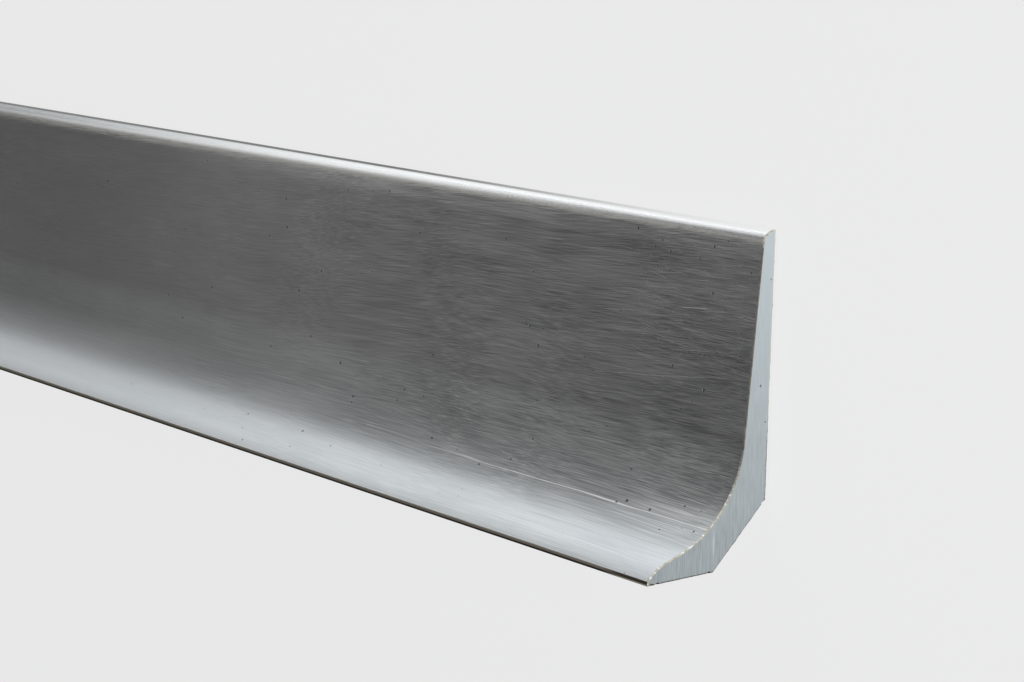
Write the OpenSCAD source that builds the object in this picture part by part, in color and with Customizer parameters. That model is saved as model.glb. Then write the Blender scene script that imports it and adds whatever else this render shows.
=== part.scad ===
// Cove moulding, one strip
// A cast and brushed metal strip with an L section. Its tall leg goes flat against a wall, its
// short foot stands on the floor, and one hollow cove joins the two, so that the corner wipes clean.
// The strip is drawn lying on its flat back, as a loose one rests on a level floor.
// X runs along the strip, Y up the tall leg from the foot to the top edge, Z out from the wall.
// The origin is under the middle of the strip, on the plane of its back.

/* [Overall size] */
// Height of the tall leg, mm
leg_height = 70; // [50:0.5:120]
// Depth of the foot, from the wall to the toe, mm
foot_depth = 30; // [26:0.5:60]
// Length of one strip, mm
strip_length = 1000; // [100:10:3000]

/* [Leg] */
// Thickness of the leg at its top edge, mm
top_thickness = 3.1; // [2.8:0.1:6]
// Lean of the face, which thickens the leg towards the foot, degrees
face_lean = 4.4; // [0:0.1:8]
// Radius along the top front edge, mm
top_radius = 3; // [0.5:0.1:5]

/* [Cove] */
// Radius of the hollow between the face and the foot, mm
cove_radius = 24.7; // [6:0.1:30]

/* [Foot] */
// Slope of the foot's upper side down to the toe, degrees
foot_slope = 20.5; // [8:0.1:26]
// Height of the toe's upright front face, mm
toe_height = 1; // [0.8:0.1:3]
// How far the upper side rolls down below its slope at the toe, mm
toe_fall = 1.7; // [0.3:0.1:2]
// Radius of that roll, mm
toe_crown = 9; // [6:0.5:30]

/* [Heel] */
// Height of the bevel's upper corner, on the back, mm
heel_height = 14.6; // [2:0.1:16]
// Depth of the bevel's lower corner, from the wall, mm
heel_depth = 13.1; // [2:0.1:16]
// How far the underside rises from the toe to that lower corner, mm
heel_rise = 0.9; // [0:0.1:2]

/* [Hidden] */
// Sides of a full circle, for every round edge and for the cove
$fn = 128;
// How far a shaving reaches past the corner that it takes off, mm
overrun = 1;
// How much larger each rounding disc is drawn, so that its arc crosses the faces that it runs into, mm
hair = 0.001;
// The least flat that a round leaves on the face beside it, mm
least_flat = 0.2;

// The point where a line from p along u crosses a line from q along v
function crossing(p, u, q, v) = p + u * cross(q - p, v) / cross(u, v);

// The section is drawn flat: its first axis runs up the leg, its second out from the wall.
// Directions along the face and the foot's upper side, and square out of each
down_the_face = [-cos(face_lean), sin(face_lean)];
up_the_face = -down_the_face;
off_the_face = [sin(face_lean), cos(face_lean)];
along_the_foot = [-sin(foot_slope), cos(foot_slope)];
back_along_the_foot = -along_the_foot;
off_the_foot = [cos(foot_slope), sin(foot_slope)];
to_the_wall = [0, -1];

// Corners of the section before any of them is rounded
top_back = [leg_height, 0];
top_front = [leg_height, top_thickness];
toe_tip = [toe_height + toe_fall, foot_depth];
toe_edge = [toe_height, foot_depth];
toe_bottom = [0, foot_depth];
heel_under = [heel_rise, heel_depth];
heel_back = [heel_height, 0];
cove_corner = crossing(top_front, down_the_face, toe_tip, back_along_the_foot);

// The angle inside the top front corner and in the cove, between the two faces that meet there
top_angle = 90 + face_lean;
cove_angle = 90 + face_lean + foot_slope;

// A round stops before it eats the whole of a face beside it
top_round = min(top_radius, (top_thickness - least_flat) * tan(top_angle / 2));
crown_reach = sqrt(pow(toe_crown, 2) - pow(toe_crown - toe_fall * cos(foot_slope), 2))
            - toe_fall * sin(foot_slope);
face_room = norm(top_front - cove_corner) - top_round / tan(top_angle / 2) - least_flat;
foot_room = norm(toe_tip - cove_corner) - crown_reach - least_flat;
cove_round = min(cove_radius, min(face_room, foot_room) * tan(cove_angle / 2));

// The disc whose edge is one of the section's arcs
module disc(centre, radius) {
    translate(centre) circle(r = radius + hair);
}

// What lies outside an arc that runs from one point to another and rounds the corner between them
module shaving(from, corner, to, centre, radius) {
    difference() {
        polygon([centre, from, corner, to]);
        disc(centre, radius);
    }
}

// The section before its outer edges are rounded. The cove is cut by its circle from a blank that
// reaches out to the circle's centre, and touches the face and the foot where the arc runs into them.
module coved_blank() {
    cove_top = cove_corner + up_the_face * cove_round / tan(cove_angle / 2);
    cove_end = cove_corner + along_the_foot * cove_round / tan(cove_angle / 2);
    cove_centre = cove_top + off_the_face * cove_round;
    difference() {
        polygon([
            heel_back, top_back, top_front, cove_top, cove_centre,
            cove_end, toe_tip, toe_bottom, heel_under
        ]);
        disc(cove_centre, cove_round);
    }
}

// What the round along the top front edge takes off
module top_shaving() {
    run = top_round / tan(top_angle / 2);
    on_the_face = top_front + down_the_face * run;
    shaving(
        top_front + to_the_wall * run, top_front + [overrun, overrun], on_the_face,
        on_the_face - off_the_face * top_round, top_round
    );
}

// What the roll of the foot's upper side takes off at the toe
module toe_shaving() {
    crown_start = toe_tip + back_along_the_foot * crown_reach;
    shaving(
        crown_start, toe_tip + [overrun, overrun], toe_edge,
        crown_start - off_the_foot * toe_crown, toe_crown
    );
}

// The section of the strip, with its cove, its rounded top edge and its rolled toe
module section() {
    difference() {
        coved_blank();
        top_shaving();
        toe_shaving();
    }
}

// One strip, sawn square at both ends and lying on its back
module cove_moulding() {
    color("darkgray")
        translate([-strip_length / 2, -leg_height / 2, 0])
            rotate([90, 0, 90])
                linear_extrude(height = strip_length) section();
}

cove_moulding();
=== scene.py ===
"""A strip of cove moulding in cast and brushed metal, sawn square at its ends, in a plain studio.

The strip lies on its flat back. X runs along it, Y up its tall leg, Z out from its back.
Its end at the highest X is the photographed one.
"""

import math
import random
from functools import cached_property

import bmesh
import bpy
from mathutils import Matrix, Vector


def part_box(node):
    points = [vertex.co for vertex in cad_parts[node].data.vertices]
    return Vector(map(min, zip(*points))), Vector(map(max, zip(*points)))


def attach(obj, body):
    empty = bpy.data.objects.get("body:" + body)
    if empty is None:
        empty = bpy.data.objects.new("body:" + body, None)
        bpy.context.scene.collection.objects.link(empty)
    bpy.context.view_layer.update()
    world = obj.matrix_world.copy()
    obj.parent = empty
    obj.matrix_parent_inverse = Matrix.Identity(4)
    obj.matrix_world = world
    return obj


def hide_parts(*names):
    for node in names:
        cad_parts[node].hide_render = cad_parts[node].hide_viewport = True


bl_info = {
    "name": "Cove moulding strip",
    "version": (1, 0, 0),
    "blender": (4, 5, 0),
    "location": "View3D > Sidebar > Moulding",
    "description": "Makes a cast and brushed metal cove moulding and its studio",
    "category": "Add Mesh",
}

NODE = "cove_moulding"
MM = 0.001
# Places nearer to each other than this are one place
GRIT = 1e-7
# The strip's skins, in the order of its material slots
SLOTS = ("brushed", "back", "sawn", "rim", "burr", "toe", "pore", "chip")

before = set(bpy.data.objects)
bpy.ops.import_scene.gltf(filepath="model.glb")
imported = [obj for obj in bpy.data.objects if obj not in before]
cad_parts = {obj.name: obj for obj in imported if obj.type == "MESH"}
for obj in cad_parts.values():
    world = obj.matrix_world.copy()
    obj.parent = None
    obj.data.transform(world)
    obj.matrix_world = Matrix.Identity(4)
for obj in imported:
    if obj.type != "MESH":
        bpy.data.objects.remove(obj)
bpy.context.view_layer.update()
LOW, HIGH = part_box(NODE)


def linear(code):
    """The linear colour of an sRGB hex value such as #A5B2B8."""
    parts = [int(code[i:i + 2], 16) / 255 for i in (1, 3, 5)]
    return tuple(p / 12.92 if p <= 0.04045 else ((p + 0.055) / 1.055) ** 2.4 for p in parts)


def length(name, description, millimetres):
    """A size that a user may change, kept in metres and given here in millimetres."""
    return bpy.props.FloatProperty(
        name=name, description=description, default=millimetres * MM, min=0.0,
        unit="LENGTH", precision=5,
    )


def angle(name, description, degrees):
    """An angle that a user may change, given here in degrees."""
    return bpy.props.FloatProperty(
        name=name, description=description, default=math.radians(degrees), subtype="ANGLE",
    )


def colour(name, description, code):
    """A colour that a user may change, given here as an sRGB hex value."""
    return bpy.props.FloatVectorProperty(
        name=name, description=description, default=linear(code), subtype="COLOR", min=0.0, max=1.0,
    )


class SectionSizes(bpy.types.PropertyGroup):
    """The section of the strip. Its height, depth and length come from the frame."""

    top_thickness: length("Top thickness", "Thickness of the leg at its top edge", 3.1)
    face_lean: angle("Face lean", "Lean of the face, which thickens the leg downwards", 4.4)
    top_radius: length("Top radius", "Radius along the top front edge", 3.0)
    cove_radius: length("Cove radius", "Radius of the hollow between the face and the foot", 24.7)
    foot_slope: angle("Foot slope", "Slope of the foot's upper side", 20.5)
    toe_height: length("Toe height", "Height of the toe's upright front face", 1.0)
    toe_fall: length("Toe fall", "How far the upper side rolls down at the toe", 1.7)
    toe_crown: length("Toe crown", "Radius of that roll", 9.0)
    heel_height: length("Heel height", "Height of the bevel's upper corner, on the back", 14.6)
    heel_depth: length("Heel depth", "Depth of the bevel's lower corner, from the back", 13.1)
    heel_rise: length("Heel rise", "How far the underside rises from the toe to the bevel", 0.9)
    outline_step: length("Outline step", "Spacing of the points round the section", 0.5)
    station_step: length("Station step", "Spacing of the rings along the strip", 25.0)


class SawnEnds(bpy.types.PropertyGroup):
    """What the saw left along the outline of each end."""

    rim_width: length("Rim width", "Width of the broken edge along the sawn outline", 0.26)
    nibble: length("Nibble", "How far the broken edge wanders along the strip", 0.34)
    nibble_size: length("Nibble size", "Size of one nibble along the outline", 0.9)


class Pinholes(bpy.types.PropertyGroup):
    """Gas pores of the casting that the brushing opened, and chips that the saw broke out."""

    count: bpy.props.IntProperty(
        name="Count", description="Pinholes tried on the brushed faces of the strip", default=1000, min=0,
    )
    end_count: bpy.props.IntProperty(
        name="End count", description="Pinholes on each sawn end", default=3, min=0,
    )
    smallest: length("Smallest", "Radius of the smallest pinhole", 0.11)
    largest: length("Largest", "Radius of the largest pinhole", 0.38)
    chip: length("Chip", "Radius of a chip at the saw's lower edge", 0.494)
    seed: bpy.props.IntProperty(name="Seed", description="Scatter of the pinholes", default=7)


class Brushing(bpy.types.PropertyGroup):
    """What a hand-held pad left on the faces.

    The real strokes are about 0.1 mm wide, and are drawn half as wide again, so that they show.
    """

    rising_length: length("Rising length", "Length of the strokes that climb the most", 20.0)
    rising_width: length("Rising width", "Width of those strokes", 0.14)
    rising_lean: angle("Rising lean", "How they climb towards the photographed end", 5.5)
    level_length: length("Level length", "Length of the strokes that run nearly level", 26.0)
    level_width: length("Level width", "Width of those strokes", 0.16)
    level_lean: angle("Level lean", "How they climb towards the photographed end", 1.0)
    band_length: length("Band length", "Length of the bands where the pad pressed harder", 42.0)
    band_width: length("Band width", "Width of those bands", 1.5)
    cloud_length: length("Cloud length", "Length of the casting's clouds", 50.0)
    cloud_width: length("Cloud width", "Width of those clouds", 13.0)
    sweep_length: length("Sweep length", "Length over which a stroke bends", 90.0)
    sweep: length("Sweep", "How far a stroke bends to either side and back", 5.0)
    stray_width: length("Stray width", "Width of the scratches from handling", 0.12)


class Finish(bpy.types.PropertyGroup):
    """Colours of the strip's surfaces. Some of them are painted light or shade, as their comments say."""

    metal_pale: colour("Pale metal", "Brushed metal where the strokes are bright", "#C7C9C9")
    metal_deep: colour("Deep metal", "Brushed metal where the skin is darker", "#8C8D8D")
    # Painted light: the foot's two tones are painted far paler than the face's metal
    foot_pale: colour("Pale foot", "The strokes on the foot, which is rubbed brighter", "#F7FAFB")
    foot_deep: colour("Deep foot", "The deeper tone of the foot", "#E0E5E8")
    # The bright edge is partly real burnish and partly painted highlight, and the dull edge is painted
    # shade where that highlight fades
    edge_bright: colour("Bright edge", "The burnished top edge", "#FCFDFD")
    edge_painted_shade: colour("Dull edge", "The same edge where it has dulled", "#9FA2A3")
    scratch: colour("Scratch", "Fresh scratches in the brushed skin", "#F4F5F4")
    pore: colour("Pore", "Inside of a pinhole", "#8F979B")
    # Painted shade: the inside of a chip is painted near black
    chip: colour("Chip", "Inside of a chip at the saw's lower edge", "#15181A")
    sawn: colour("Sawn metal", "The sawn end", "#B4BBBD")
    rim: colour("Rim", "The broken edge round the cove and the foot", "#D9D2BE")
    rim_brown: colour("Brown rim", "The broken edge up the face", "#948A78")
    rim_inner: colour("Inner rim", "Where that edge runs into the face", "#6E6D69")
    burr: colour("Burr", "The dark burr along the back and the underside", "#5D5548")
    toe_dark: colour("Toe front", "The upright front of the toe", "#B9AF9E")
    # Painted dark reflection: the arris is a near-black line painted along the top edge; it also darkens
    # the foot of the toe's front
    arris: colour("Arris", "The uncleaned line along the top edge", "#121517")
    back: colour("Back", "The dull cast back and underside", "#8C8F91")


class StudioSetup(bpy.types.PropertyGroup):
    """The floor, the lamps and the camera."""

    backdrop: colour("Backdrop", "The plain pale floor", "#EAEAEA")
    room: colour("Room", "The dim room above the floor", "#404040")
    floor_size: length("Floor size", "Side of the square floor", 14000.0)
    floor_gap: length("Floor gap", "How far the floor lies under the strip", 0.3)
    lit_place: length("Lit place", "Where the lamps point, along the strip from its middle", 330.0)
    lamp_distance: length("Lamp distance", "From there to each lamp", 2000.0)
    stand: bpy.props.FloatVectorProperty(
        name="Stand", description="Where the camera stands", default=(0.93316, 0.09987, 0.37785),
        subtype="TRANSLATION", unit="LENGTH", precision=5,
    )
    back: bpy.props.FloatVectorProperty(
        name="Back", description="The way from the object back to the camera",
        default=(0.80092, 0.15349, 0.57878), subtype="XYZ", precision=5,
    )
    roll: angle("Roll", "Roll of the camera about its view axis", 1.477)
    lens: bpy.props.FloatProperty(
        name="Lens", description="Focal length of the camera", default=100.77, unit="CAMERA",
    )


class MouldingSettings(bpy.types.PropertyGroup):
    """All settings of the strip and its studio."""

    section: bpy.props.PointerProperty(type=SectionSizes)
    ends: bpy.props.PointerProperty(type=SawnEnds)
    pinholes: bpy.props.PointerProperty(type=Pinholes)
    brushing: bpy.props.PointerProperty(type=Brushing)
    finish: bpy.props.PointerProperty(type=Finish)
    studio: bpy.props.PointerProperty(type=StudioSetup)


def crossed(first, second):
    """The cross product of two flat vectors."""
    return first.x * second.y - first.y * second.x


class Outline:
    """Corners and arc centres of the section, each as (height up the leg, depth from the back)."""

    def __init__(self, sizes):
        height = HIGH.y - LOW.y
        depth = HIGH.z - LOW.z
        lean = sizes.face_lean
        slope = sizes.foot_slope
        down_face = Vector((-math.cos(lean), math.sin(lean)))
        off_face = Vector((math.sin(lean), math.cos(lean)))
        along_foot = Vector((-math.sin(slope), math.cos(slope)))
        off_foot = Vector((math.cos(slope), math.sin(slope)))
        top_front = Vector((height, sizes.top_thickness))
        toe_tip = Vector((sizes.toe_height + sizes.toe_fall, depth))

        # The cove rounds the corner where the face and the foot's upper side would meet
        to_tip = toe_tip - top_front
        way = crossed(to_tip, along_foot) / crossed(down_face, along_foot)
        cove_corner = top_front + down_face * way
        self.cove_turn = math.pi / 2 - lean - slope
        cove_run = sizes.cove_radius * math.tan(self.cove_turn / 2)
        self.cove_top = cove_corner - down_face * cove_run
        self.cove_end = cove_corner + along_foot * cove_run
        self.cove_centre = self.cove_top + off_face * sizes.cove_radius

        # The toe's roll starts on the foot's upper side and ends at the upright front
        drop = sizes.toe_fall * math.cos(slope)
        reach = math.sqrt(sizes.toe_crown ** 2 - (sizes.toe_crown - drop) ** 2)
        reach -= sizes.toe_fall * math.sin(slope)
        self.crown_start = toe_tip - along_foot * reach
        self.crown_centre = self.crown_start - off_foot * sizes.toe_crown
        self.toe_edge = Vector((sizes.toe_height, depth))
        self.crown_turn = (self.crown_start - self.crown_centre).angle(self.toe_edge - self.crown_centre)

        self.toe_bottom = Vector((0.0, depth))
        self.heel_under = Vector((sizes.heel_rise, sizes.heel_depth))
        self.heel_back = Vector((sizes.heel_height, 0.0))
        self.top_back = Vector((height, 0.0))
        self.top_turn = math.pi / 2 - lean
        top_run = sizes.top_radius * math.tan(self.top_turn / 2)
        self.on_top = Vector((height, sizes.top_thickness - top_run))
        self.on_face = top_front + down_face * top_run
        self.top_centre = self.on_face - off_face * sizes.top_radius


def across(point, x=None):
    """The place of a section point, at the strip's far end unless x says otherwise."""
    return Vector((LOW.x if x is None else x, LOW.y + point.x, LOW.z + point.y))


def work_on(piece):
    """Makes one object the only selected and active one."""
    bpy.ops.object.select_all(action="DESELECT")
    piece.select_set(True)
    bpy.context.view_layer.objects.active = piece


def just_added(kind):
    """The object that an operator has just added. Raises an error if there is no new one."""
    made = bpy.context.object
    if made is None or made.type != kind or not made.select_get():
        raise RuntimeError(f"No new {kind.lower()} was added")
    return made


def pick(piece, kind, test):
    """In edit mode, selects only the vertices, edges or faces that pass a test, and counts them."""
    mode = {"verts": "VERT", "edges": "EDGE", "faces": "FACE"}[kind]
    bpy.ops.mesh.select_mode(type=mode)
    bpy.ops.mesh.select_all(action="DESELECT")
    mesh = bmesh.from_edit_mesh(piece.data)
    chosen = [part for part in getattr(mesh, kind) if test(part)]
    for part in chosen:
        part.select_set(True)
    mesh.select_flush_mode()
    bmesh.update_edit_mesh(piece.data)
    return len(chosen)


def line_to(point, start):
    """Extrudes the last vertex of the outline straight to a point of the section."""
    step = point - start
    bpy.ops.mesh.extrude_vertices_move(TRANSFORM_OT_translate={"value": (0.0, step.x, step.y)})
    return point


def arc_about(centre, turn, radius, step):
    """Spins the last vertex of the outline about an arc's centre."""
    bpy.ops.mesh.spin(
        steps=max(2, round(abs(turn) * radius / step)), angle=turn,
        center=across(centre), axis=(1.0, 0.0, 0.0),
    )


def cuts_needed(edge, step):
    """How many pieces of about one step an edge is divided into. A little over a step still passes."""
    slack = 0.2
    return math.ceil(edge.calc_length() / step - slack)


def draw_outline(sizes):
    """Draws the section's closed outline at the strip's far end, point by point, and fills it."""
    marks = Outline(sizes)
    step = sizes.outline_step
    bpy.ops.object.select_all(action="DESELECT")
    bpy.ops.mesh.primitive_plane_add(size=step, location=across(marks.cove_top))
    strip = just_added("MESH")
    bpy.ops.object.transform_apply(location=True)
    bpy.ops.object.mode_set(mode="EDIT")
    bpy.ops.mesh.select_all(action="SELECT")
    bpy.ops.mesh.merge(type="CENTER")

    arc_about(marks.cove_centre, marks.cove_turn, sizes.cove_radius, step)
    line_to(marks.crown_start, marks.cove_end)
    arc_about(marks.crown_centre, -marks.crown_turn, sizes.toe_crown, step)
    last = marks.toe_edge
    for corner in (marks.toe_bottom, marks.heel_under, marks.heel_back, marks.top_back, marks.on_top):
        last = line_to(corner, last)
    arc_about(marks.top_centre, -marks.top_turn, sizes.top_radius, step / 2)

    pick(strip, "verts", lambda v: len(v.link_edges) == 1)
    bpy.ops.mesh.edge_face_add()
    longest = HIGH.y - LOW.y
    for cuts in range(math.ceil(longest / step), 1, -1):
        if pick(strip, "edges", lambda e: cuts_needed(e, step) == cuts):
            bpy.ops.mesh.subdivide(number_cuts=cuts - 1)
    bpy.ops.mesh.select_all(action="SELECT")
    bpy.ops.mesh.edge_face_add()
    return strip


def extrude_strip(strip, sizes):
    """Extrudes the section to the strip's length and rings it at regular stations."""
    whole = HIGH.x - LOW.x
    bpy.ops.mesh.select_all(action="SELECT")
    bpy.ops.mesh.extrude_region_move(TRANSFORM_OT_translate={"value": (whole, 0.0, 0.0)})
    bpy.ops.mesh.select_all(action="SELECT")
    bpy.ops.mesh.normals_make_consistent(inside=False)
    pick(strip, "edges", lambda e: abs(e.verts[0].co.x - e.verts[1].co.x) > whole / 2)
    bpy.ops.mesh.subdivide(number_cuts=round(whole / sizes.station_step) - 1)


def at_end(x):
    """True for a coordinate on either sawn end."""
    return min(abs(x - LOW.x), abs(x - HIGH.x)) < GRIT


def is_sawn_outline(edge):
    """True for an edge round either sawn end."""
    first, second = (v.co.x for v in edge.verts)
    return at_end(first) and at_end(second) and abs(first - second) < GRIT


def break_the_rims(strip, ends):
    """Bevels the sawn outline of both ends by the width of a broken edge."""
    pick(strip, "edges", is_sawn_outline)
    bpy.ops.mesh.bevel(
        offset_type="OFFSET", offset=ends.rim_width, segments=1, affect="EDGES",
        clamp_overlap=True, loop_slide=True,
    )


def nibble_the_rims(strip, ends):
    """Lets the broken edge wander a little along the strip, more at some spots than at others."""
    close = 10 * GRIT
    texture = bpy.data.textures.new("rim_nibbles", "CLOUDS")
    texture.noise_scale = ends.nibble_size
    texture.noise_depth = 2
    for side, end_x, inwards in (("low", LOW.x, 1.0), ("high", HIGH.x, -1.0)):
        ring_x = end_x + inwards * ends.rim_width
        members = [v.index for v in strip.data.vertices if abs(v.co.x - ring_x) < close]
        ring = strip.vertex_groups.new(name=f"rim_{side}")
        ring.add(members, 1.0, "REPLACE")
        shift = strip.modifiers.new(f"nibble_{side}", "DISPLACE")
        shift.texture = texture
        shift.direction = "X"
        shift.vertex_group = ring.name
        shift.mid_level = 0.35
        shift.strength = inwards * ends.nibble
        bpy.ops.object.modifier_apply(modifier=shift.name)


def assign(strip, name, test):
    """Gives the faces that pass a test one of the strip's materials."""
    strip.active_material_index = SLOTS.index(name)
    if not pick(strip, "faces", test):
        raise RuntimeError(f"No face of the strip is {name}")
    bpy.ops.object.material_slot_assign()


def is_hidden_side(normal):
    """True for the back, the bevelled heel and the underside."""
    slanted = 0.5
    return normal.z < -slanted or (normal.y < -slanted and normal.z < slanted)


def assign_all(strip, sizes):
    """Gives each face of the strip its material. The faces that are left stay brushed."""
    upright = 0.99
    slanted = 0.3
    toe_top = LOW.y + sizes.toe_height + 0.01 * MM

    def on_rim(face):
        return slanted < abs(face.normal.x) < upright

    def on_hidden_rim(face):
        """A rim's face stands halfway between the end and the side, so its normal is stretched."""
        return on_rim(face) and is_hidden_side(face.normal * math.sqrt(2))

    assign(strip, "back", lambda f: is_hidden_side(f.normal))
    assign(strip, "toe", lambda f: f.normal.z > upright and f.calc_center_median().y < toe_top)
    assign(strip, "sawn", lambda f: abs(f.normal.x) > upright)
    assign(strip, "rim", lambda f: on_rim(f) and not on_hidden_rim(f))
    assign(strip, "burr", on_hidden_rim)


def pinhole_share(spot):
    """How likely a pinhole shows: seldom on the foot or far off, and never on the burnished round."""
    burnished = 3.5 * MM
    foot_from = 19 * MM
    all_within = 100 * MM
    fewest_beyond = 300 * MM
    share_on_foot = 0.35
    share_far_off = 0.4
    if HIGH.y - spot.y < burnished:
        return 0.0
    to_end = min(max(HIGH.x - spot.x, all_within), fewest_beyond)
    near = (fewest_beyond - to_end) / (fewest_beyond - all_within)
    share = share_far_off + (1.0 - share_far_off) * near
    return share * share_on_foot if spot.z > foot_from else share


def faces_of(strip, name, cell):
    """The faces with one of the strip's skins, by their place, because operators vary their order."""
    faces = [f for f in strip.data.polygons if f.material_index == SLOTS.index(name)]
    faces.sort(key=lambda f: (math.floor(f.center.x / cell), round(f.center.y, 6), f.center.z))
    return faces


def side_pinholes(strip, cell, holes, scatter):
    """Places, radii and skins of the pinholes on the brushed faces, where small ones are the most."""
    mesh = strip.data
    rim_face = 1 * MM * MM
    rarity = 2.2
    brushed = [f for f in faces_of(strip, "brushed", cell) if f.area > rim_face]
    for _ in range(holes.count):
        face = scatter.choice(brushed)
        corners = [mesh.vertices[i].co.x for i in face.vertices]
        spot = face.center.copy()
        spot.x = scatter.uniform(min(corners), max(corners))
        size = holes.smallest + (holes.largest - holes.smallest) * scatter.random() ** rarity
        if scatter.random() < pinhole_share(spot):
            yield spot, size, "pore"


def end_pinholes(x, marks, holes, scatter):
    """Places, radii and skins of the pinholes and the chips on one sawn end."""
    heel = marks.heel_back.x
    for _ in range(holes.end_count):
        height = scatter.uniform(0.4 * heel, 0.95 * marks.top_back.x)
        depth = scatter.uniform(0.8 * MM, 3.6 * MM)
        # Behind the bevel there is no metal
        if height < heel:
            depth += heel - height
        size = holes.largest * scatter.uniform(0.35, 0.7)
        yield Vector((x, LOW.y + height, LOW.z + depth)), size, "pore"
    # Chips out of the saw's lower edge: two by the toe, and one at each corner of the heel
    for start, stop, share in (
        (marks.toe_bottom, marks.heel_under, 0.05), (marks.toe_bottom, marks.heel_under, 0.14),
        (marks.toe_bottom, marks.heel_under, 0.92), (marks.heel_back, marks.heel_under, 0.05),
    ):
        yield across(start.lerp(stop, share), x), holes.chip, "chip"


def pit_places(strip, settings):
    """Seeded places, radii and skins of all pits."""
    holes = settings.pinholes
    scatter = random.Random(holes.seed)
    marks = Outline(settings.section)
    cell = settings.section.station_step
    places = list(side_pinholes(strip, cell, holes, scatter))
    for face in faces_of(strip, "sawn", cell):
        places.extend(end_pinholes(face.center.x, marks, holes, scatter))
    return places


def pierce_pinholes(strip, settings):
    """Cuts every pit out of the strip, with one cutter that is copied, each copy with its own mesh."""
    places = pit_places(strip, settings)
    if not places:
        return
    scatter = random.Random(settings.pinholes.seed + 1)
    bpy.ops.object.select_all(action="DESELECT")
    bpy.ops.mesh.primitive_ico_sphere_add(subdivisions=2, radius=1.0)
    first = just_added("MESH")
    for material in strip.data.materials:
        first.data.materials.append(material)
    copies = []
    for spot, size, skin in places:
        pit = first.copy()
        pit.data = first.data.copy()
        for face in pit.data.polygons:
            face.material_index = SLOTS.index(skin)
        bpy.context.collection.objects.link(pit)
        # Brushing dragged some of them out along the strip
        stretch = Matrix.Diagonal((scatter.uniform(0.9, 1.5) * size, size, size, 1.0))
        pit.data.transform(Matrix.Translation(spot) @ stretch)
        copies.append(pit)
    bpy.data.objects.remove(first)
    for pit in copies:
        pit.select_set(True)
    bpy.context.view_layer.objects.active = copies[0]
    bpy.ops.object.join()
    cutter = bpy.context.object
    work_on(strip)
    cut = strip.modifiers.new("pinholes", "BOOLEAN")
    cut.operation = "DIFFERENCE"
    cut.solver = "EXACT"
    cut.use_self = True
    cut.object = cutter
    bpy.ops.object.modifier_apply(modifier=cut.name)
    bpy.data.objects.remove(cutter)


class Wire:
    """An output of a node. Arithmetic on it adds Math nodes, and wire["Name"] is another output."""

    def __init__(self, tree, node, output=0):
        self.tree = tree
        self.node = node
        self.output = output

    @property
    def socket(self):
        return self.node.outputs[self.output]

    def __getitem__(self, output):
        return Wire(self.tree, self.node, output)

    def through(self, operation, *others, clamp=False):
        """This value and others through one operation."""
        inputs = dict(enumerate((self, *others)))
        return add(self.tree, "ShaderNodeMath", inputs, operation=operation, use_clamp=clamp)

    def __add__(self, other):
        return self.through("ADD", other)

    def __mul__(self, other):
        return self.through("MULTIPLY", other)

    def __sub__(self, other):
        return self.through("SUBTRACT", other)

    def __rsub__(self, other):
        return add(self.tree, "ShaderNodeMath", {0: other, 1: self}, operation="SUBTRACT")

    def __abs__(self):
        return self.through("ABSOLUTE")

    __radd__ = __add__
    __rmul__ = __mul__

    def or_higher(self, other):
        """Whichever of two values is the higher."""
        return self.through("MAXIMUM", other)

    def fade(self, low, high):
        """A smooth rise from 0 to 1 as this value goes from low to high."""
        return add(self.tree, "ShaderNodeMapRange", {
            "Value": self, "From Min": low, "From Max": high, "To Min": 0.0, "To Max": 1.0,
        }, interpolation_type="SMOOTHSTEP")

    def between(self, low, high, start=0.0, stop=1.0):
        """A value that goes evenly from low to high as this one goes from start to stop."""
        return add(self.tree, "ShaderNodeMapRange", {
            "Value": self, "From Min": start, "From Max": stop, "To Min": low, "To Max": high,
        })


def add(tree, kind, inputs=(), **settings):
    """Adds a node, sets its properties, and sets or links each input that is given."""
    made = tree.nodes.new(kind)
    for name, value in settings.items():
        setattr(made, name, value)
    for key, value in dict(inputs).items():
        if isinstance(value, Wire):
            tree.links.new(value.socket, made.inputs[key])
        else:
            made.inputs[key].default_value = value
    return Wire(tree, made)


class Spot:
    """A point of the strip, measured from its edges. A measure's node is added when first used."""

    def __init__(self, tree):
        self.place = add(tree, "ShaderNodeTexCoord")["Object"]
        self.axes = add(tree, "ShaderNodeSeparateXYZ", {0: self.place})

    @cached_property
    def to_end(self):
        """Distance from the photographed end."""
        return HIGH.x - self.axes["X"]

    @cached_property
    def to_nearer_end(self):
        """Distance from either end, whichever is nearer."""
        return HIGH.x - abs(self.axes["X"])

    @cached_property
    def height(self):
        """Distance up the leg, from the underside of the foot."""
        return self.axes["Y"] - LOW.y

    @cached_property
    def below_top(self):
        """Distance down from the top edge."""
        return HIGH.y - self.axes["Y"]

    @cached_property
    def depth(self):
        """Distance out from the flat back."""
        return self.axes["Z"] - LOW.z


def blank_material(name):
    """A material with nothing in its node tree, and that tree."""
    material = bpy.data.materials.new(name)
    material.use_nodes = True
    material.node_tree.nodes.clear()
    return material, material.node_tree


def rgba(tone):
    """A colour with full opacity, and a node's own colour or value as it is."""
    return tone if isinstance(tone, (float, Wire)) else (*tone, 1.0)


def mixed(tree, share, first, second, blend="MIX"):
    """Two colours mixed by a share."""
    inputs = {0: share, 6: rgba(first), 7: rgba(second)}
    return add(tree, "ShaderNodeMix", inputs, data_type="RGBA", blend_type=blend)[2]


def grain(tree, place, size, **more):
    """Even noise whose grains have a real size."""
    return add(tree, "ShaderNodeTexNoise", {"Vector": place, "Scale": 1 / size, **more})["Fac"]


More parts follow.
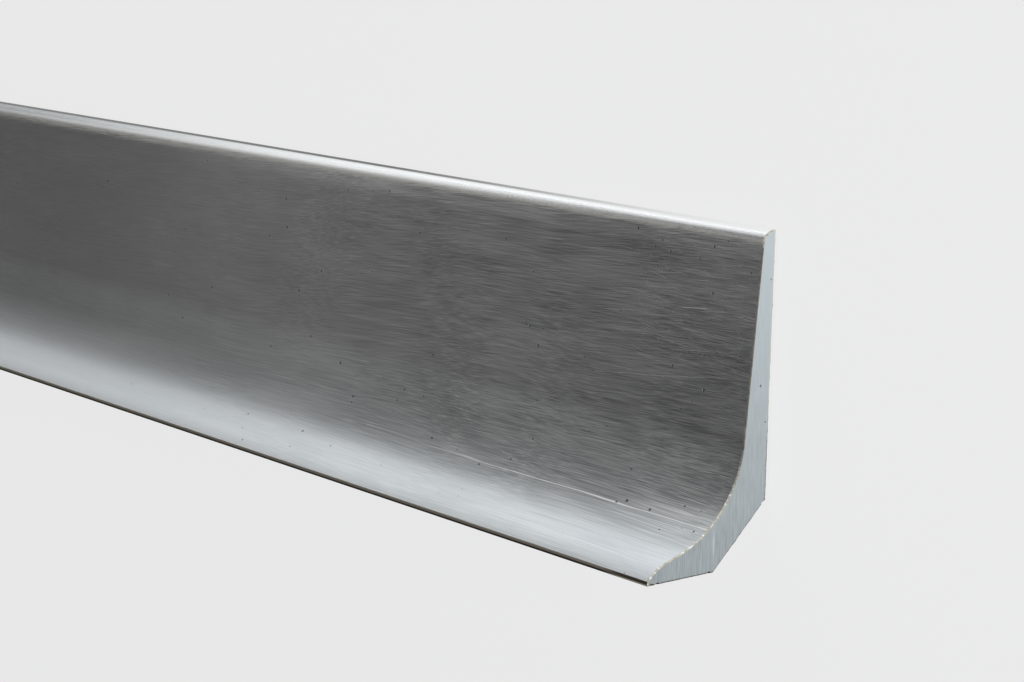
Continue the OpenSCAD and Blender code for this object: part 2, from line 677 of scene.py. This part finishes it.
def end_with(tree, looks, relief=None, deep=0.0, strength=1.0):
    """Ends a metal's node tree: a relief that is so deep, the surface and the output."""
    if relief is not None:
        bump = add(tree, "ShaderNodeBump", {"Height": relief, "Distance": deep, "Strength": strength})
        looks = {**looks, "Normal": bump}
    surface = add(tree, "ShaderNodeBsdfPrincipled", looks)
    add(tree, "ShaderNodeOutputMaterial", {"Surface": surface})


def strokes(tree, place, long, wide, detail=2.0, turn=0.0):
    """Noise drawn out along the strip, in streaks of a length and a width, turned on the face."""
    turned = add(tree, "ShaderNodeMapping", {"Vector": place, "Rotation": (0.0, 0.0, turn)})
    drawn = add(tree, "ShaderNodeMapping", {"Vector": turned, "Scale": (1 / long, 1 / wide, 1 / wide)})
    return grain(tree, drawn, 1.0, Detail=detail, Roughness=0.6)


def bent_places(tree, place, brushing):
    """Places bent up and down by a broad noise, as the strokes of a hand-held pad are."""
    sweep = brushing.sweep
    bend = add(tree, "ShaderNodeTexNoise", {
        "Vector": place, "Scale": 1 / brushing.sweep_length, "Detail": 1.0,
    })["Color"]
    offset = add(tree, "ShaderNodeVectorMath", {
        0: bend, 1: (0.0, sweep, sweep), 2: (0.0, -sweep / 2, -sweep / 2),
    }, operation="MULTIPLY_ADD")
    return add(tree, "ShaderNodeVectorMath", {0: place, 1: offset}, operation="ADD")


def leaning(tree, place, way, lean):
    """Places shifted up the leg in proportion to a way along the strip, so that strokes lean."""
    offset = add(tree, "ShaderNodeCombineXYZ", {"Y": way * math.tan(lean)})
    return add(tree, "ShaderNodeVectorMath", {0: place, 1: offset}, operation="ADD")


def line_mark(value, middle, half_width):
    """1 on a thin line where a value equals its middle, 0 away from it."""
    away = abs(value - middle)
    return 1.0 - away.fade(half_width * 0.4, half_width)


def stray_scratches(tree, spot, width):
    """Scratches from handling, thickest on the face's upper part near the photographed end."""
    drawn = 0.0
    for degrees, long, rarest in (
        (3, 60, 0.75), (-5, 50, 0.75), (9, 44, 0.76), (40, 30, 0.79), (-48, 26, 0.80),
    ):
        way = strokes(tree, spot.place, long * MM, width, detail=0.0, turn=math.radians(degrees))
        drawn = way.fade(rarest, rarest + 0.05).or_higher(drawn)
    handled = spot.to_end.fade(60 * MM, 25 * MM) * spot.height.fade(31 * MM, 43 * MM)
    sparse = grain(tree, spot.place, 30 * MM, Detail=1.0).fade(0.55, 0.75)
    return drawn * handled.or_higher(sparse * 0.5)


def long_scratches(spot, band, on_face):
    """One long scratch along the lower cove, and a fainter one that climbs the face."""
    wander = (band - 0.5) * (1.2 * MM)
    lower = line_mark(spot.depth + wander, 15 * MM, 0.13 * MM)
    lower = lower * spot.height.fade(15 * MM, 13 * MM) * spot.to_end.fade(120 * MM, 50 * MM)
    climb = 0.115
    level = spot.height + (spot.to_end - 25 * MM) * climb
    higher = line_mark(level + wander, 36.8 * MM, 0.12 * MM)
    higher = higher * spot.to_end.fade(55 * MM, 45 * MM) * (on_face * 0.5)
    return lower.or_higher(higher)


def painted_light_and_shade(spot, on_face):
    """Painted light and shade on the metal, as a factor near 1: darker in the cove and far from the end,
    lighter in the lower cove beside the end, halfway along the face and below the top round.
    """
    far_off = spot.to_end.fade(80 * MM, 360 * MM)
    on_foot = spot.depth.fade(15 * MM, 22 * MM)
    off_foot = 1.0 - on_foot
    # Painted light: right beside the photographed end the lower cove is painted brighter, without the
    # cove's painted shade
    beside_end = spot.to_end.fade(38 * MM, 8 * MM) * (spot.depth.fade(10.5 * MM, 14 * MM) * off_foot)
    # Painted shade: the cove, and the foot and face far from the end, are painted darker; halfway along,
    # the face is painted lighter
    in_cove = spot.depth.fade(6 * MM, 10 * MM) * off_foot * (1.0 - beside_end)
    far_face = on_face * spot.to_end.fade(160 * MM, 360 * MM)
    halfway = on_face * (spot.to_end.fade(300 * MM, 200 * MM) * spot.to_end.fade(50 * MM, 140 * MM))
    # Painted highlight: below the burnished round the face is painted a little brighter for a few
    # millimetres
    under_round = spot.below_top.fade(8 * MM, 4 * MM) * spot.to_end.fade(260 * MM, 140 * MM)
    # Painted light lifts the colour here, and painted shade lowers it
    pressed = 1.06 + halfway * 0.14 + under_round * 0.42 + beside_end * 0.18
    painted_shade = in_cove * far_off.between(0.32, 0.38) + on_foot * far_off * 0.14 + far_face * 0.16
    return pressed - painted_shade


def top_edge_tones(tree, spot, base, burnished, finish):
    """Lays the burnished top round over a tone, brightened by a painted highlight, with a painted dark
    reflection as a line right along the top edge.
    """
    # Painted highlight: the burnish is painted brightest near the photographed end, and dimmer far from it
    # and close to the top edge; the painted dark line is darkest far from it
    dull = spot.below_top.fade(2.2 * MM, 0.9 * MM) * spot.to_end.fade(100 * MM, 370 * MM)
    base = mixed(tree, burnished, base, mixed(tree, dull, finish.edge_bright, finish.edge_painted_shade))
    # Painted dark reflection: a near-black line along the top edge, darkest far from the end
    line_tone = mixed(tree, spot.to_end.fade(145 * MM, 0.0), finish.arris, finish.edge_bright)
    return mixed(tree, spot.below_top.fade(0.40 * MM, 0.16 * MM), base, line_tone)


def brushed_cast_metal(finish, brushing):
    """Cast metal ground and brushed by hand along its length: satin, streaked, with faint clouds, and with
    painted light and shade.
    """
    material, tree = blank_material("brushed_cast_metal")
    spot = Spot(tree)

    # Towards the photographed end the strokes are deeper and the top round is worn smoother
    worn = spot.to_end.fade(260 * MM, 10 * MM)
    # Painted light: the foot and the lower cove are painted much brighter than the face
    painted = spot.depth.fade(11 * MM, 25 * MM)
    on_face = spot.depth.fade(14 * MM, 4.5 * MM)

    # Two sets of fine strokes cross at a few degrees on the face and run true on the foot.
    # Both climb towards the photographed end, because the hand swung as it drew the pad back.
    bent = bent_places(tree, spot.place, brushing)
    way = spot.to_end * on_face
    rising_place = leaning(tree, bent, way, brushing.rising_lean)
    level_place = leaning(tree, bent, way, brushing.level_lean)
    rising = strokes(tree, rising_place, brushing.rising_length, brushing.rising_width)
    level = strokes(tree, level_place, brushing.level_length, brushing.level_width)
    fine = rising + level

    # Bolder bands where the pad pressed harder, and clouds of the casting under them
    band = strokes(tree, bent, brushing.band_length, brushing.band_width, detail=3.0)
    cloud = strokes(tree, spot.place, brushing.cloud_length, brushing.cloud_width)
    broad = band * 0.4 + cloud
    mean_tone = 2.2
    swing = (fine * 1.5 + broad - mean_tone) * worn.between(0.3, 1.5)
    tone = swing.through("ADD", 0.5, clamp=True)

    # The burnish on the top round, brightened by a painted highlight, runs out below in streaks, and softly
    # far from the end
    burnish_line = spot.below_top - (fine - 1.0) * (2.4 * MM)
    burnish_start = worn.between(4.5 * MM, 3.4 * MM)
    burnish_full = worn.between(2.2 * MM, 1.9 * MM)
    burnished = burnish_line.fade(burnish_start, burnish_full)

    # One small white nick on the foot, beside the photographed end
    nick_place = (HIGH.x - 9.7 * MM, LOW.y + 4.2 * MM, LOW.z + 25.4 * MM)
    nick_away = add(tree, "ShaderNodeVectorMath", {0: spot.place, 1: nick_place}, operation="DISTANCE")
    nick = nick_away["Value"].fade(0.60 * MM, 0.30 * MM)

    # Bright hairlines, where single grains of the pad cut deeper
    hairlines = rising.fade(0.63, 0.73).or_higher(level.fade(0.63, 0.73)) * worn.between(0.06, 0.45)
    stray = stray_scratches(tree, spot, brushing.stray_width) * on_face
    marks = long_scratches(spot, band, on_face).or_higher(stray).or_higher(nick).or_higher(hairlines)

    face_tone = mixed(tree, tone, finish.metal_deep, finish.metal_pale)
    # Painted light: the foot's tones are painted far paler than the face's, and blend in over the lower
    # cove
    foot_tone = mixed(tree, tone, finish.foot_deep, finish.foot_pale)
    base = mixed(tree, painted, face_tone, foot_tone)
    # Painted light and shade, multiplied into the metal's colour
    base = mixed(tree, 1.0, base, painted_light_and_shade(spot, on_face), "MULTIPLY")
    # Partly painted highlight on the top round, and a painted dark line along its edge
    base = top_edge_tones(tree, spot, base, burnished, finish)
    base = mixed(tree, marks, base, finish.scratch)

    # Satin where it is brushed, and smoother where it is burnished
    roughness = burnished.between(tone.between(0.54, 0.50), worn.between(0.30, 0.26))
    across_strokes = add(tree, "ShaderNodeTangent", direction_type="RADIAL", axis="X")
    end_with(tree, {
        "Base Color": base, "Metallic": 1.0 - nick, "Roughness": roughness,
        "Anisotropic": 0.75, "Tangent": across_strokes,
    }, relief=fine + broad, deep=0.025 * MM, strength=burnished.between(1.0, 0.35))
    return material


def near_line(spot, first, second, width):
    """1 along the straight line through two section points, faded out over a width beside it."""
    way = (second - first).normalized()
    away = abs(spot.height * way.y - spot.depth * way.x - crossed(first, way))
    return away.fade(width, width * 0.4)


def sawn_cast_metal(finish, marks):
    """The same metal straight from the saw: paler, matter, with fine marks across the strip."""
    material, tree = blank_material("sawn_cast_metal")
    spot = Spot(tree)

    # Saw marks stand across the foot and die out up the leg, and the leg is paler the higher it is
    mark_place = add(tree, "ShaderNodeMapping", {
        "Vector": spot.place, "Scale": (1 / (1 * MM), 1 / (6 * MM), 1 / (0.4 * MM)),
    })
    teeth = grain(tree, mark_place, 1.0, Detail=4.0, Roughness=0.65)
    streak = (teeth - 0.5) * spot.height.between(0.75, 0.3, 5 * MM, 45 * MM)
    lift = spot.height.between(0.80, 1.22, 0.0, HIGH.y - LOW.y)
    base = mixed(tree, 1.0, finish.sawn, streak + lift, "MULTIPLY")

    # One whitish scratch down the thick of the heel
    scratch = line_mark(spot.depth, 13.4 * MM, 0.16 * MM)
    scratch = scratch * (spot.height.fade(2 * MM, 5 * MM) * teeth.fade(0.40, 0.55))
    base = mixed(tree, scratch * 0.4, base, finish.scratch)

    # The saw left a creamy line along the back's edge, and a dark one along the heel and the underside
    broken = grain(tree, spot.place, 0.8 * MM, Detail=2.0).fade(0.30, 0.45)
    back_line = near_line(spot, marks.heel_back, marks.top_back, 0.58 * MM)
    back_tone = mixed(tree, spot.height.fade(21 * MM, 39 * MM), finish.burr, finish.rim)
    base = mixed(tree, back_line * broken, base, back_tone)
    heel_line = near_line(spot, marks.heel_under, marks.heel_back, 0.46 * MM)
    under_line = near_line(spot, marks.toe_bottom, marks.heel_under, 0.46 * MM)
    base = mixed(tree, heel_line.or_higher(under_line) * broken, base, finish.burr)

    looks = {"Base Color": base, "Metallic": 0.8, "Roughness": 0.55}
    end_with(tree, looks, relief=teeth, deep=0.02 * MM)
    return material


def broken_edge(finish):
    """The crumbled rim along the saw cut: a thin brown line up the face, creamy round the cove and foot."""
    material, tree = blank_material("broken_saw_edge")
    spot = Spot(tree)
    crumbs = grain(tree, spot.place, 0.8 * MM, Detail=3.0, Roughness=0.7)
    outer = spot.to_nearer_end.fade(0.17 * MM, 0.10 * MM)
    cream = 1.0 - spot.height.fade(13 * MM, 27 * MM)
    cream = cream.or_higher(spot.below_top.fade(4 * MM, 2 * MM))
    base = mixed(tree, outer, finish.rim_inner, finish.rim_brown)
    base = mixed(tree, cream, base, finish.rim)
    base = mixed(tree, crumbs.fade(0.54, 0.62) * cream, base, finish.scratch)
    base = mixed(tree, 1.0, base, crumbs.between(0.55, 1.25, 0.3, 0.7), "MULTIPLY")
    looks = {"Base Color": base, "Metallic": 0.1, "Roughness": 0.65}
    end_with(tree, looks, relief=crumbs, deep=0.05 * MM)
    return material


def toe_edge_metal(finish):
    """The upright front of the toe: unbrushed cast skin, beige above and dark along its foot."""
    material, tree = blank_material("dark_toe_edge")
    spot = Spot(tree)
    skin = mixed(tree, spot.height.fade(0.65 * MM, 0.20 * MM), finish.toe_dark, finish.arris)
    # The last centimetre before the photographed end is the other way round: creamy along the foot
    turned = mixed(tree, spot.height.fade(0.40 * MM, 0.20 * MM), finish.burr, finish.rim)
    base = mixed(tree, spot.to_end.fade(16 * MM, 8 * MM), skin, turned)
    end_with(tree, {"Base Color": base, "Metallic": 0.3, "Roughness": 0.6})
    return material


def plain_material(name, tone, metallic, roughness, size):
    """A worn or dull metal skin whose tone and relief follow one fine grain of a size."""
    material, tree = blank_material(name)
    place = add(tree, "ShaderNodeTexCoord")["Object"]
    speckle = grain(tree, place, size, Detail=3.0, Roughness=0.6)
    base = mixed(tree, 1.0, tone, speckle.between(0.7, 1.15, 0.3, 0.7), "MULTIPLY")
    looks = {"Base Color": base, "Metallic": metallic, "Roughness": roughness}
    end_with(tree, looks, relief=speckle, deep=size / 20)
    return material


def check_strip(strip):
    """Raises an error if the strip isn't closed, or isn't as large as the node that it stands for."""
    mesh = bmesh.new()
    mesh.from_mesh(strip.data)
    open_edges = sum(not edge.is_manifold for edge in mesh.edges)
    mesh.free()
    if open_edges:
        raise RuntimeError(f"{strip.name} has {open_edges} open edges")
    slack = 0.01 * MM
    for low, high, axis in zip(LOW, HIGH, zip(*(v.co for v in strip.data.vertices))):
        if abs(min(axis) - low) > slack or abs(max(axis) - high) > slack:
            raise RuntimeError(f"{strip.name} doesn't fill the box of {NODE}")


class MOULDING_OT_make_strip(bpy.types.Operator):
    """Models the whole strip, with its sawn ends and its pinholes"""

    bl_idname = "moulding.make_strip"
    bl_label = "Make Strip"

    def execute(self, context):
        settings = context.scene.moulding
        finish = settings.finish
        strip = draw_outline(settings.section)
        extrude_strip(strip, settings.section)
        break_the_rims(strip, settings.ends)
        bpy.ops.object.mode_set(mode="OBJECT")
        strip.name = strip.data.name = "cove_moulding_strip"
        for material in (
            brushed_cast_metal(finish, settings.brushing),
            plain_material("dull_cast_back", finish.back, metallic=0.9, roughness=0.6, size=0.7 * MM),
            sawn_cast_metal(finish, Outline(settings.section)),
            broken_edge(finish),
            plain_material("dark_saw_burr", finish.burr, metallic=0.5, roughness=0.7, size=0.3 * MM),
            toe_edge_metal(finish),
            plain_material("open_pore", finish.pore, metallic=0.3, roughness=0.8, size=0.1 * MM),
            # Painted shade: the chips' insides are painted near black
            plain_material("deep_chip", finish.chip, metallic=0.0, roughness=0.9, size=0.1 * MM),
        ):
            strip.data.materials.append(material)

        bpy.ops.object.mode_set(mode="EDIT")
        assign_all(strip, settings.section)
        bpy.ops.object.mode_set(mode="OBJECT")
        work_on(strip)
        nibble_the_rims(strip, settings.ends)
        pierce_pinholes(strip, settings)
        work_on(strip)
        bpy.ops.object.shade_smooth_by_angle(angle=math.radians(25))
        check_strip(strip)
        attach(strip, "root")
        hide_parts(NODE)
        return {"FINISHED"}


def soft_lamp(name, place, aim, width, height, power, tone):
    """A rectangular softbox at a place, turned to face a point."""
    bpy.ops.object.select_all(action="DESELECT")
    bpy.ops.object.light_add(type="AREA", location=place)
    lamp = just_added("LIGHT")
    lamp.name = name
    lamp.rotation_euler = (aim - place).to_track_quat("-Z", "Y").to_euler()
    lamp.data.shape = "RECTANGLE"
    lamp.data.size = width
    lamp.data.size_y = height
    lamp.data.energy = power
    lamp.data.color = tone


def hang_lamps(studio):
    """Hangs the softboxes round the photographed part of the strip."""
    aim = Vector((studio.lit_place, 0.0, 0.0))
    # The key lies low beyond the top edge, so that it lights the foot and leaves the face dim.
    # Three weak softboxes further along that side draw the bright line on the top round.
    # The far fill lights the face, and the near fill the sawn end.
    # Each has a bearing and a rise in degrees, a width and a height in metres, watts and a colour.
    for name, bearing, rise, width, height, power, tone in (
        ("key_softbox", 110, 4, 0.95, 0.28, 20.6, "#FBFDFF"),
        ("low_strip", 140, 4, 1.60, 0.28, 2.0, "#FBFDFF"),
        ("edge_softbox", 145, 16, 0.70, 0.50, 0.85, "#FBFDFF"),
        ("edge_fill", 158, 20, 0.55, 0.55, 0.6, "#FBFDFF"),
        ("far_fill", 172, 38, 1.20, 1.20, 1.0, "#FFFAF2"),
        ("near_fill", 2, 14, 0.90, 0.70, 28.6, "#F6FAFF"),
    ):
        around = math.radians(bearing)
        up = math.radians(rise)
        way = Vector((math.cos(up) * math.cos(around), math.cos(up) * math.sin(around), math.sin(up)))
        soft_lamp(name, aim + way * studio.lamp_distance, aim, width, height, power, linear(tone))


def pale_floor_material(studio):
    """A matte pale floor that shows an even tone to the eye and in the metal, and keeps the shadow."""
    material, tree = blank_material("pale_studio_floor")
    ray = add(tree, "ShaderNodeLightPath")
    seen = ray["Is Camera Ray"].or_higher(ray["Is Glossy Ray"]).or_higher(ray["Is Transmission Ray"])
    even_share = 0.8
    # Its share of diffuse floor is dimmer than the backdrop's own tone, and the glow makes up for it
    glow_strength = 1.17
    matte = add(tree, "ShaderNodeBsdfDiffuse", {"Color": rgba(studio.backdrop)})
    glow = add(tree, "ShaderNodeEmission", {"Color": rgba(studio.backdrop), "Strength": glow_strength})
    blend = add(tree, "ShaderNodeMixShader", {0: seen * even_share, 1: matte, 2: glow})
    add(tree, "ShaderNodeOutputMaterial", {"Surface": blend})
    return material


def lay_floor(studio):
    """Lays the floor just under the strip."""
    bpy.ops.object.select_all(action="DESELECT")
    place = (0.0, 0.0, LOW.z - studio.floor_gap)
    bpy.ops.mesh.primitive_plane_add(size=studio.floor_size, location=place)
    floor = just_added("MESH")
    floor.name = "studio_floor"
    floor.data.materials.append(pale_floor_material(studio))


def dim_room(studio):
    """The world: a dim room that the metal mirrors above the floor."""
    world = bpy.data.worlds.new("dim_room")
    world.use_nodes = True
    tree = world.node_tree
    tree.nodes.clear()
    room = add(tree, "ShaderNodeBackground", {"Color": rgba(studio.room), "Strength": 1.0})
    add(tree, "ShaderNodeOutputWorld", {"Surface": room})
    return world


def place_camera(studio):
    """The camera of the photograph, as its outline gives it."""
    back = Vector(studio.back).normalized()
    right = Vector((0.0, 1.0, 0.0)).cross(back).normalized()
    turn = Matrix((right, back.cross(right), back)).transposed().to_4x4()
    bpy.ops.object.camera_add()
    camera = just_added("CAMERA")
    camera.name = "photo_camera"
    camera.matrix_world = Matrix.Translation(studio.stand) @ turn @ Matrix.Rotation(studio.roll, 4, "Z")
    camera.data.sensor_width = 36.0
    camera.data.lens = studio.lens
    camera.data.clip_start = 0.01
    return camera


class MOULDING_OT_make_studio(bpy.types.Operator):
    """Sets up the pale floor, the soft lamps, the room and the camera"""

    bl_idname = "moulding.make_studio"
    bl_label = "Make Studio"

    def execute(self, context):
        scene = context.scene
        studio = scene.moulding.studio
        lay_floor(studio)
        hang_lamps(studio)
        scene.world = dim_room(studio)
        scene.camera = place_camera(studio)
        scene.view_settings.view_transform = "Standard"
        return {"FINISHED"}


class MOULDING_PT_sidebar(bpy.types.Panel):
    """Lists the pieces that can be made"""

    bl_idname = "MOULDING_PT_sidebar"
    bl_label = "Cove Moulding"
    bl_space_type = "VIEW_3D"
    bl_region_type = "UI"
    bl_category = "Moulding"

    def draw(self, context):
        for maker in (MOULDING_OT_make_strip, MOULDING_OT_make_studio):
            self.layout.operator(maker.bl_idname)


CLASSES = (
    SectionSizes, SawnEnds, Pinholes, Brushing, Finish, StudioSetup, MouldingSettings,
    MOULDING_OT_make_strip, MOULDING_OT_make_studio, MOULDING_PT_sidebar,
)


def register():
    for cls in CLASSES:
        bpy.utils.register_class(cls)
    bpy.types.Scene.moulding = bpy.props.PointerProperty(type=MouldingSettings)


def unregister():
    del bpy.types.Scene.moulding
    for cls in reversed(CLASSES):
        bpy.utils.unregister_class(cls)


def main():
    register()
    bpy.ops.moulding.make_strip()
    bpy.ops.moulding.make_studio()


if __name__ == "__main__":
    main()
